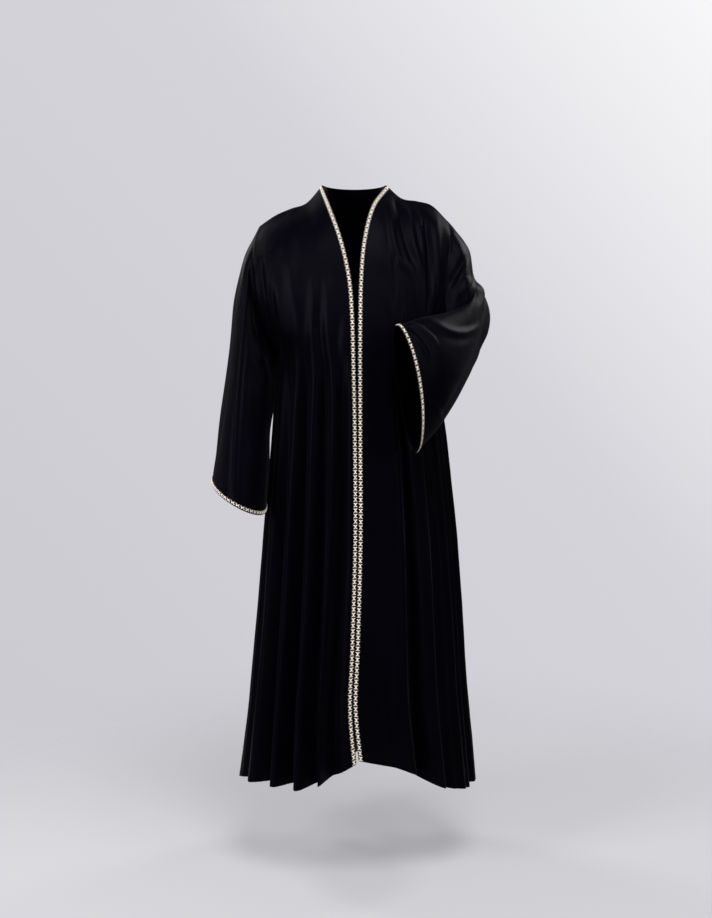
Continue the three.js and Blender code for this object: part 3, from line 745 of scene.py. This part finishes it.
right_front_grid = front_detail(right_front_grid, RIGHT_FRONT_CREASES, seed=11, outwards=1)
left_front_grid = front_detail(left_front_grid, LEFT_FRONT_CREASES, seed=21, outwards=-1)
back_grid = back_detail(back_grid)
right_sleeve_grid = sleeve_detail(
    right_sleeve_grid, RIGHT_ARM, RIGHT_SLEEVE_CREASES, seed=41, outwards=-1
)
left_sleeve_grid = sleeve_detail(
    left_sleeve_grid, LEFT_ARM, LEFT_SLEEVE_CREASES, seed=51, outwards=1
)

# ---- Meshes of the cloth ----

CLOTH_THICKNESS = 0.9


def new_object(name, points, faces, uvs, material):
    """A smooth-shaded mesh object, with one UV for each corner of each face."""
    mesh = bpy.data.meshes.new(name)
    mesh.from_pydata((points * MM).tolist(), [], faces)
    mesh.uv_layers.new(name="Cloth").data.foreach_set("uv", np.ravel(uvs))
    mesh.polygons.foreach_set("use_smooth", np.ones(len(mesh.polygons), bool))
    mesh.materials.append(material)
    obj = bpy.data.objects.new(name, mesh)
    bpy.context.scene.collection.objects.link(obj)
    return obj


def grid_faces(rows, columns, ring_columns, outwards):
    """The corners of each cell as rows and columns, and as numbers of points."""
    row, column = np.mgrid[0 : rows - 1, 0 : ring_columns - 1]
    corners = [(row, column), (row, column + 1), (row + 1, column + 1), (row + 1, column)]
    if outwards < 0:
        corners.reverse()
    faces = np.stack([r * columns + c % columns for r, c in corners], -1).reshape(-1, 4)
    return corners, faces.tolist()


def cloth_object(name, grid, outwards, closed=False):
    """A shell with its outer face on the grid, and UVs in metres along the cloth."""
    rows, columns = grid.shape[:2]
    ring = np.concatenate([grid, grid[:, :1]], 1) if closed else grid
    lengths = np.stack([distance_along(ring, 1), distance_along(ring, 0)], -1)
    corners, faces = grid_faces(rows, columns, ring.shape[1], outwards)
    uvs = np.stack([lengths[r, c] for r, c in corners], -2).reshape(-1, 2) * MM
    obj = new_object(name, grid.reshape(-1, 3), faces, uvs, crepe)
    shell = obj.modifiers.new("Thickness", "SOLIDIFY")
    shell.thickness = CLOTH_THICKNESS * MM
    shell.offset = -1
    return obj


# ---- The braid: a row of X shapes, each of two plied strands crossing on a brown tape ----

MOTIF_LENGTH = 12.5
MOTIF_GAP = 3.3  # between the strands of one motif and those of the next
CUFF_MOTIF_GAP = 4.0  # the same on a cuff, where the bent edge opens the braid
STRAND_BOW = 1.2  # over 1, strands run steeper at the waist of the X than at its ends
STRAND_HALF_WIDTH = (1.15, 2.1)  # measured straight across, at the waist and at the ends
STRAND_FLARE = 1.3  # over 1, a strand keeps its waist for longer before it widens
STRAND_VARIES = (0.93, 1.05)  # least and most share of its width that a strand has
STRAND_HALF_HEIGHT = 0.8
STRAND_MARGIN = 0.05  # kept free at each edge of the braid
STRAND_RISE = 0.5  # how far the upper strand passes over the lower one
STRAND_CROSSING = 0.42  # share of a strand's half-length that this takes
STRAND_RINGS = 13
STRAND_SIDES = 10
END_STARTS = 0.86  # share of a strand's half-length where its end begins to round off
END_LENGTH = 0.15
END_LEAST = 0.02
END_SHARE = 0.6  # of the width that a strand keeps at its very end, and of its painted light there, as its rounded end gets painted shade
PLY_DEPTH = 0.17
PLY_TURNS = 7.0  # radians of twist from the middle of a strand to its end
FLANK_PAINTED_SHADE = 0.4  # painted shade at a strand's flank, where 0 is the darkest painted shade and 1 the brightest painted light
TOP_PAINTED_LIGHT = 0.44  # painted light added at the top of a strand, and taken off below it as painted shade
PLY_PAINTED_LIGHT_AND_SHADE = 0.16  # painted light added on top of a ply, and taken off between plies as painted shade
CROSSING_PAINTED_LIGHT = 0.1  # painted light added for each millimetre that a strand passes over the other
SHADE_VARIES = (0.88, 1.08)
TAPE_HALF_WIDTH = 1.9
TAPE_ACROSS = np.array([-1, -0.8, 0, 0.8, 1])  # points of the tape's profile
TAPE_HEIGHTS = np.array([0.2, 1.4, 1.9, 1.4, 0.2])  # of those points, as shares of LIFT
TAPE_STEP = 2.5
LIFT = 0.25  # of the tape above the cloth
CUFF_INSET = 1.0  # a cuff's braid starts this far in, so the cloth shows as a fine edge
PATCH_COLUMNS = 5
NECK_LINE_ROWS = 12
NECK_FAN = (0, 0.25, 0.5, 0.75)  # turns of the lines that fan out, as shares of a corner
STRIP_COLUMNS = 9  # columns of a front that the braid's strip surely lies within
CUFF_ROWS = 6  # rows of a sleeve that it lies within


def braid_patch(lines, closed, outwards):
    """The strip of cloth under a braid, with even columns across it, and its normals.

    Each line starts at the edge of the cloth and runs inwards.
    """
    strip = []
    across = np.linspace(CUFF_INSET if closed else 0, BRAID_WIDTH, PATCH_COLUMNS)
    for line in lines:
        length = distance_along(line[None], 1)[0]
        strip.append(np.stack([np.interp(across, length, line[:, i]) for i in range(3)], -1))
    strip = np.array(strip)
    middle = strip[:, [PATCH_COLUMNS // 2]]
    if closed:
        along = np.roll(middle, -1, 0) - np.roll(middle, 1, 0)
    else:
        along = np.gradient(middle, axis=0)
    normals = np.cross(np.gradient(strip, axis=1), along) * outwards
    normals /= np.linalg.norm(normals, axis=-1, keepdims=True)
    if closed:
        strip = np.concatenate([strip, strip[:1]])
        normals = np.concatenate([normals, normals[:1]])
    length = distance_along(strip[:, PATCH_COLUMNS // 2][None], 1)[0]
    return {"points": strip, "normals": normals, "length": length}


def on_patch(patch, along, across, height):
    """Points above the patch: along and across are lengths on it."""
    stations = np.interp(along, patch["length"], np.arange(len(patch["length"])))
    row = np.clip(np.floor(stations).astype(int), 0, len(patch["length"]) - 2)
    share = across / BRAID_WIDTH * (PATCH_COLUMNS - 1)
    column = np.clip(np.floor(share).astype(int), 0, PATCH_COLUMNS - 2)
    t, u = (stations - row)[..., None], (share - column)[..., None]

    def blend(values):
        near = mix(values[row, column], values[row, column + 1], u)
        far = mix(values[row + 1, column], values[row + 1, column + 1], u)
        return mix(near, far, t)

    return blend(patch["points"]) + blend(patch["normals"]) * np.asarray(height)[..., None]


def strand(start, length, gap, side, rng):
    """Rings of one strand, as lengths along and across the patch, heights, and painted shade with a
    random tone.
    """
    t = np.linspace(-1, 1, STRAND_RINGS)[:, None]
    angle = np.linspace(0, 2 * math.pi, STRAND_SIDES, endpoint=False)[None]
    narrow, wide = STRAND_HALF_WIDTH
    half_width = mix(narrow, wide, np.abs(t) ** STRAND_FLARE) * rng.uniform(*STRAND_VARIES)
    into_end = np.clip(np.abs(t) - END_STARTS, 0, 1) / END_LENGTH
    round_end = np.sqrt(np.clip(1 - into_end**2, END_LEAST, 1))
    narrow_end = mix(END_SHARE, 1, round_end)
    reach = BRAID_WIDTH / 2 - wide
    bow = side * reach * np.sign(t) * np.abs(t) ** STRAND_BOW
    ply = np.cos(2 * angle + PLY_TURNS * t * side)
    plied = 1 + PLY_DEPTH * ply
    across = BRAID_WIDTH / 2 + bow + np.cos(angle) * half_width * narrow_end * plied
    across = np.clip(across, STRAND_MARGIN, BRAID_WIDTH - STRAND_MARGIN)
    along = np.broadcast_to(start + length / 2 + (length - gap) / 2 * t, across.shape)
    upwards = np.sin(angle) * STRAND_HALF_HEIGHT * round_end * plied
    over = STRAND_RISE * (side > 0) * np.exp(-((t / STRAND_CROSSING) ** 2))
    height = LIFT + STRAND_HALF_HEIGHT + over + upwards
    # Painted light and shade: a strand's top, the tops of its plies and the strand that passes over
    # are lighter; its underside, the grooves between plies and its rounded ends are darker. Each
    # strand also has a random tone of its own.
    tone_and_painted_shade = FLANK_PAINTED_SHADE + TOP_PAINTED_LIGHT * np.sin(angle) + PLY_PAINTED_LIGHT_AND_SHADE * ply + CROSSING_PAINTED_LIGHT * over
    tone_and_painted_shade = tone_and_painted_shade * narrow_end * rng.uniform(*SHADE_VARIES)
    return along, across, height, np.clip(tone_and_painted_shade, 0, 1)


def strand_faces():
    """Quads between the rings of a strand, and a face on each end."""
    rings, sides = np.mgrid[0 : STRAND_RINGS - 1, 0:STRAND_SIDES]
    after = (sides + 1) % STRAND_SIDES
    corners = [(rings, sides), (rings, after), (rings + 1, after), (rings + 1, sides)]
    faces = np.stack([r * STRAND_SIDES + s for r, s in corners], -1).reshape(-1, 4).tolist()
    last = (STRAND_RINGS - 1) * STRAND_SIDES
    faces.append(list(range(STRAND_SIDES))[::-1])
    faces.append([last + s for s in range(STRAND_SIDES)])
    return faces


def braid_object(name, lines, outwards, seed, closed=False):
    """One braid: its tape and all of its strands, joined in a mesh."""
    patch = braid_patch(lines, closed, outwards)
    length = patch["length"][-1]
    count = round(length / MOTIF_LENGTH)
    motif = length / count
    gap = CUFF_MOTIF_GAP if closed else MOTIF_GAP
    rng = np.random.default_rng(seed)
    points, tones_and_painted_shades, faces, uvs = [], [], [], []

    def add(new_points, new_tones_and_painted_shades, new_faces, flat):
        first = sum(len(p) for p in points)
        points.append(new_points.reshape(-1, 3))
        tones_and_painted_shades.append(new_tones_and_painted_shades.ravel())
        for face in new_faces:
            face = face[::-1] if outwards > 0 else face
            faces.append([first + i for i in face])
            uvs.extend(flat[i] for i in face)

    cells = strand_faces()
    for i in range(count):
        for side in (-1, 1):
            along, across, height, tone_and_painted_shade = strand(i * motif, motif, gap, side, rng)
            flat = np.stack([along, across + BRAID_WIDTH * (side + 1)], -1).reshape(-1, 2) * MM
            add(on_patch(patch, along, across, height), tone_and_painted_shade, cells, flat)
    steps = round(length / TAPE_STEP)
    across, along = np.meshgrid(
        BRAID_WIDTH / 2 + TAPE_HALF_WIDTH * TAPE_ACROSS,
        np.linspace(0, length, steps + 1),
    )
    height = LIFT * TAPE_HEIGHTS * np.ones_like(along)
    columns = len(TAPE_ACROSS)
    _, tape_faces = grid_faces(steps + 1, columns, columns, -1)
    flat = np.stack([along, across], -1).reshape(-1, 2) * MM
    # The tape has the value 0: its own dark brown, not painted shade.
    add(on_patch(patch, along, across, height), np.zeros(along.shape), tape_faces, flat)

    obj = new_object(name, np.concatenate(points), faces, uvs, braid)
    # Each point's tone and painted shade, for the braid material's ramp.
    tone_and_painted_shade = obj.data.attributes.new("tone_and_painted_shade", "FLOAT", "POINT")
    tone_and_painted_shade.data.foreach_set("value", np.concatenate(tones_and_painted_shades))
    return obj


def neck_lines():
    """Lines down the back from its neck. At each end they fan out from the shoulder seam."""
    first = int(np.searchsorted(BACK_STEPS, FRONT_COLUMNS))
    last = int(np.searchsorted(BACK_STEPS, FRONT_COLUMNS + NECK_COLUMNS))
    down = back_grid[:NECK_LINE_ROWS, first : last + 1].transpose(1, 0, 2)
    fans = []
    for line, beside in ((down[0], first - 1), (down[-1], last + 1)):
        corner = line[0]
        along_seam = back_grid[0, beside] - corner
        along_seam /= np.linalg.norm(along_seam)
        reach = np.linalg.norm(line - corner, axis=-1)[:, None]
        down_back = (line[-1] - corner) / reach[-1]
        fan = []
        for share in NECK_FAN:
            way = mix(along_seam, down_back, share)
            fan.append(corner + reach * way / np.linalg.norm(way))
        fans.append(fan)
    return np.concatenate([fans[0], down, fans[1][::-1]])


# ---- Materials ----


# Colours are pairs of a place on a ramp and the colour there. Lengths are in metres.
CREPE_COLORS = ((0.35, (0.0003, 0.0002, 0.0013)), (0.7, (0.0006, 0.0004, 0.0022)))
CREPE_ROUGHNESS = (0.43, 0.52)
DYE_PATCH = 0.16  # size of the patches of a slightly different black
SHEEN_PATCH = 0.05  # and of those that shine a little more or less
PEBBLE = 0.0018  # size of the crepe's grain
PEBBLE_DEPTH = 0.0006
PEBBLE_BUMP = 0.35  # how strongly it shows, from 0 to 1
THREAD = 0.0011  # from one thread to the next
THREAD_DEPTH = 0.0003
THREAD_BUMP = 0.12
# The braid's ramp runs from the tape's dark brown through lit and shaded copies of the cream yarn:
# brown and tan painted shade up to ivory painted light.
BRAID_TONE_AND_PAINTED_SHADE_COLORS = (
    (0.12, (0.05, 0.025, 0.018)),
    (0.36, (0.26, 0.16, 0.1)),
    (0.5, (0.8, 0.61, 0.46)),
    (0.68, (1.0, 0.9, 0.79)),
)
SPECKLE = 0.0011  # size of the yarn's uneven dye
SPECKLE_SHARE = 0.22  # how much the speckle adds to the value of tone and painted shade
FIBRE = 0.0006  # from one fibre of the yarn to the next
FIBRE_DEPTH = 0.0003
FIBRE_BUMP = 0.5
WAVE_RADIANS = 20  # that a wave texture turns through in one unit of its scaled place


class Nodes:
    """A short way to add and link a material's or world's nodes."""

    def __init__(self, owner):
        owner.use_nodes = True
        self.tree = owner.node_tree
        self.tree.nodes.clear()

    def add(self, kind, inputs=None, **settings):
        node = self.tree.nodes.new(kind)
        for name, value in settings.items():
            setattr(node, name, value)
        for name, value in (inputs or {}).items():
            socket = node.inputs[name]
            if isinstance(value, bpy.types.NodeSocket):
                self.tree.links.new(value, socket)
            else:
                socket.default_value = value
        return node

    def ramp(self, factor, *stops):
        node = self.add("ShaderNodeValToRGB", {"Fac": factor})
        elements = node.color_ramp.elements
        while len(elements) < len(stops):
            elements.new(1)
        for element, (position, color) in zip(elements, stops):
            element.position = position
            element.color = (*color, 1)
        return node.outputs["Color"]

    def noise(self, place, size, detail=2.0):
        """Noise with features about as wide as size, in metres."""
        inputs = {"Vector": place, "Scale": 1 / size, "Detail": detail}
        return self.add("ShaderNodeTexNoise", inputs).outputs["Fac"]

    def threads(self, place, period, direction):
        """Even threads, one for each period in metres."""
        scale = 2 * math.pi / (WAVE_RADIANS * period)
        inputs = {"Vector": place, "Scale": scale, "Distortion": 0.4, "Detail": 1.0}
        node = self.add("ShaderNodeTexWave", inputs, bands_direction=direction)
        return node.outputs["Fac"]

    def bump(self, height, strength, distance, normal=None):
        """A normal bumped by the height, on top of another bump's normal if one is given."""
        inputs = {"Height": height, "Strength": strength, "Distance": distance}
        if normal:
            inputs["Normal"] = normal
        return self.add("ShaderNodeBump", inputs).outputs["Normal"]

    def output(self, shader, kind="ShaderNodeOutputMaterial"):
        self.add(kind, {"Surface": shader})


def crepe_material():
    """Black crepe: a fine pebbled weave with a soft sheen, not quite even in depth."""
    material = bpy.data.materials.new("crepe")
    nodes = Nodes(material)
    coordinates = nodes.add("ShaderNodeTexCoord")
    place, flat = coordinates.outputs["Object"], coordinates.outputs["UV"]
    color = nodes.ramp(nodes.noise(place, DYE_PATCH, detail=3.0), *CREPE_COLORS)
    smoothest, roughest = CREPE_ROUGHNESS
    roughness = nodes.add(
        "ShaderNodeMapRange",
        {"Value": nodes.noise(place, SHEEN_PATCH), "To Min": smoothest, "To Max": roughest},
    ).outputs["Result"]
    pebbles = nodes.bump(nodes.noise(place, PEBBLE, detail=4.0), PEBBLE_BUMP, PEBBLE_DEPTH)
    warp = nodes.bump(nodes.threads(flat, THREAD, "X"), THREAD_BUMP, THREAD_DEPTH, pebbles)
    weft = nodes.bump(nodes.threads(flat, THREAD, "Y"), THREAD_BUMP, THREAD_DEPTH, warp)
    shader = nodes.add(
        "ShaderNodeBsdfPrincipled",
        {
            "Base Color": color,
            "Roughness": roughness,
            "Normal": weft,
            "Specular IOR Level": 0.044,
            "Specular Tint": (0.84, 0.79, 1, 1),
            "Sheen Weight": 0.02,
            "Sheen Roughness": 0.4,
            "Sheen Tint": (0.75, 0.78, 1, 1),
        },
    )
    nodes.output(shader.outputs["BSDF"])
    return material


def braid_material():
    """Cream yarn on a brown tape, with painted light and shade: ivory where a strand stands up,
    brown deep between its plies.
    """
    material = bpy.data.materials.new("braid")
    nodes = Nodes(material)
    coordinates = nodes.add("ShaderNodeTexCoord")
    # depth holds the strands' painted shade and the tape's tone, not a depth.
    depth = nodes.add("ShaderNodeAttribute", attribute_name="tone_and_painted_shade").outputs["Fac"]
    speckle = nodes.noise(coordinates.outputs["Object"], SPECKLE, detail=3.0)
    speckle_and_painted_shade = nodes.add(
        "ShaderNodeMath", {0: speckle, 1: SPECKLE_SHARE, 2: depth}, operation="MULTIPLY_ADD"
    ).outputs["Value"]
    color = nodes.ramp(speckle_and_painted_shade, *BRAID_TONE_AND_PAINTED_SHADE_COLORS)
    fibres = nodes.threads(coordinates.outputs["UV"], FIBRE, "DIAGONAL")
    shader = nodes.add(
        "ShaderNodeBsdfPrincipled",
        {
            "Base Color": color,
            "Roughness": 0.5,
            "Normal": nodes.bump(fibres, FIBRE_BUMP, FIBRE_DEPTH),
            "Specular IOR Level": 0.4,
            "Sheen Weight": 0.2,
        },
    )
    nodes.output(shader.outputs["BSDF"])
    return material


crepe = crepe_material()
braid = braid_material()

# ---- The ten pieces ----

right_strip, left_strip = (grid[:, :STRIP_COLUMNS] for grid in (right_front_grid, left_front_grid))
right_cuff, left_cuff = (
    grid[: -CUFF_ROWS - 1 : -1].transpose(1, 0, 2) for grid in (right_sleeve_grid, left_sleeve_grid)
)

# Each cloth has its node's name, its grid, the side of it that faces out, and its cut: width
# and length in metres and area in square metres. Then come the edge that its braid lies on,
# the lines under the braid, the side of them that faces out, and the braid's seed.
for node, grid, outwards, cut, edge, lines, edge_outwards, seed in (
    ("right_front", right_front_grid, 1, (0.7, 1.39, 0.57), "right_front", right_strip, 1, 61),
    ("left_front", left_front_grid, -1, (0.57, 1.4, 0.5), "left_front", left_strip, -1, 62),
    ("back", back_grid, 1, (1.26, 1.46, 1.1), "neck", neck_lines(), -1, 63),
    ("right_sleeve", right_sleeve_grid, -1, (0.76, 0.61, 0.27), "right_cuff", right_cuff, -1, 64),
    ("left_sleeve", left_sleeve_grid, 1, (0.78, 0.62, 0.24), "left_cuff", left_cuff, 1, 65),
):
    closed = "sleeve" in node
    cloth = cloth_object(node + "_cloth", grid, outwards, closed)
    trim = braid_object(edge + "_braid", lines, edge_outwards, seed, closed)
    for piece, replaced, slot in ((cloth, node, "crepe"), (trim, edge + "_trim", "braid")):
        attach(piece, "root")
        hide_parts(replaced)

# ---- Studio ----

FLOOR_Z = -1.54
FLOOR_RADIUS = 2.4
FLOOR_CLEAR = (0.7, 1.9)  # radii between which the floor fades into the backdrop
FLOOR_THIN = 0.4  # how clear the floor is at its middle, which keeps the shadow faint
FLOOR_COLOR = (0.66, 0.66, 0.69, 1)
AMBIENT = 0.08  # the part of the backdrop's brightness that lights the cloth
# Painted light on the backdrop: it is brighter this way, up and to the viewer's right.
BACKDROP_PAINTED_LIGHT_WAY = (0.75, 0.0, 0.66)
BACKDROP_SPAN = 0.3  # how far that way from the middle the ramp of colours reaches
BACKDROP_TONE_AND_PAINTED_LIGHT_COLORS = (
    (0.0, (0.6, 0.595, 0.64)),
    (0.5, (0.66, 0.655, 0.7)),
    (0.67, (0.8, 0.8, 0.83)),
    (0.84, (0.93, 0.93, 0.94)),
)


def floor_object():
    """A pale disc that fades out, so that floor and backdrop join without an edge."""
    rings, sides = 24, 96
    radius = np.linspace(0, FLOOR_RADIUS, rings + 1)[1:, None]
    angle = np.linspace(0, 2 * math.pi, sides, endpoint=False)[None]
    x, y = radius * np.cos(angle), radius * np.sin(angle)
    points = np.stack([x, y, np.full_like(x, FLOOR_Z)], -1).reshape(-1, 3)
    _, faces = grid_faces(rings, sides, sides + 1, -1)
    faces.append(list(range(sides)))
    mesh = bpy.data.meshes.new("floor")
    mesh.from_pydata(points.tolist(), [], faces)
    obj = bpy.data.objects.new("floor", mesh)
    bpy.context.scene.collection.objects.link(obj)
    material = bpy.data.materials.new("floor")
    nodes = Nodes(material)
    place = nodes.add("ShaderNodeTexCoord").outputs["Object"]
    flat = nodes.add("ShaderNodeVectorMath", {0: place, 1: (1, 1, 0)}, operation="MULTIPLY")
    away = nodes.add("ShaderNodeVectorMath", {0: flat.outputs["Vector"]}, operation="LENGTH")
    near, far = FLOOR_CLEAR
    fade = nodes.add(
        "ShaderNodeMapRange",
        {"Value": away.outputs["Value"], "From Min": near, "From Max": far, "To Min": FLOOR_THIN},
        interpolation_type="SMOOTHSTEP",
    )
    surface = nodes.add(
        "ShaderNodeBsdfPrincipled",
        {"Base Color": FLOOR_COLOR, "Roughness": 0.6, "Specular IOR Level": 0.2},
    )
    clear = nodes.add("ShaderNodeBsdfTransparent")
    mixed = nodes.add(
        "ShaderNodeMixShader",
        {0: fade.outputs["Result"], 1: surface.outputs["BSDF"], 2: clear.outputs["BSDF"]},
    )
    nodes.output(mixed.outputs["Shader"])
    mesh.materials.append(material)


def backdrop():
    """A pale, slightly violet studio backdrop, with painted light: it brightens up and to the
    viewer's right.
    """
    world = bpy.data.worlds.new("studio")
    bpy.context.scene.world = world
    nodes = Nodes(world)
    way = nodes.add("ShaderNodeTexCoord").outputs["Generated"]
    towards_painted_light = nodes.add(
        "ShaderNodeVectorMath", {0: way, 1: BACKDROP_PAINTED_LIGHT_WAY}, operation="DOT_PRODUCT"
    )
    share = nodes.add(
        "ShaderNodeMapRange",
        {
            "Value": towards_painted_light.outputs["Value"],
            "From Min": -BACKDROP_SPAN,
            "From Max": BACKDROP_SPAN,
        },
    )
    # The backdrop's tone with its painted light, seen by the camera at full strength.
    color = nodes.ramp(share.outputs["Result"], *BACKDROP_TONE_AND_PAINTED_LIGHT_COLORS)
    seen = nodes.add("ShaderNodeBackground", {"Color": color, "Strength": 1.0})
    lighting = nodes.add("ShaderNodeBackground", {"Color": color, "Strength": AMBIENT})
    directly = nodes.add("ShaderNodeLightPath").outputs["Is Camera Ray"]
    shader = nodes.add(
        "ShaderNodeMixShader",
        {0: directly, 1: lighting.outputs["Background"], 2: seen.outputs["Background"]},
    )
    nodes.output(shader.outputs["Shader"], "ShaderNodeOutputWorld")


def area_light(name, location, target, size, watts):
    """A round light that faces its target, with its places and size in metres."""
    light = bpy.data.lights.new(name, "AREA")
    light.shape = "DISK"
    light.size = size
    light.energy = watts
    obj = bpy.data.objects.new(name, light)
    obj.location = location
    way = mathutils.Vector(target) - mathutils.Vector(location)
    obj.rotation_euler = way.to_track_quat("-Z", "Y").to_euler()
    bpy.context.scene.collection.objects.link(obj)


floor_object()
backdrop()
area_light("key", (0.5, -2.3, 2.6), (0.05, 0, -0.4), size=1.8, watts=104)
area_light("fill left", (-2.3, -2.0, 0.5), (0, 0, -0.6), size=1.4, watts=68)
area_light("fill right", (2.3, -1.9, 0.5), (0, 0, -0.6), size=1.2, watts=22)
area_light("rim right", (2.0, 1.6, 0.9), (0, 0, -0.5), size=1.0, watts=26)
area_light("rim left", (-2.1, 1.5, 0.9), (0, 0, -0.5), size=1.0, watts=36)

CAMERA_DISTANCE = 4.27
CAMERA_HEIGHT = 0.02
CAMERA_TILT = 8.0  # degrees below the horizon
SENSOR_MM = 36
LENS_MM = 72.24
camera_data = bpy.data.cameras.new("camera")
camera_data.sensor_width = SENSOR_MM
camera_data.lens = LENS_MM
camera = bpy.data.objects.new("camera", camera_data)
camera.location = (0, -CAMERA_DISTANCE, CAMERA_HEIGHT)
camera.rotation_euler = (math.radians(90 - CAMERA_TILT), 0, 0)
bpy.context.scene.collection.objects.link(camera)
bpy.context.scene.camera = camera
bpy.context.scene.view_settings.view_transform = "Standard"
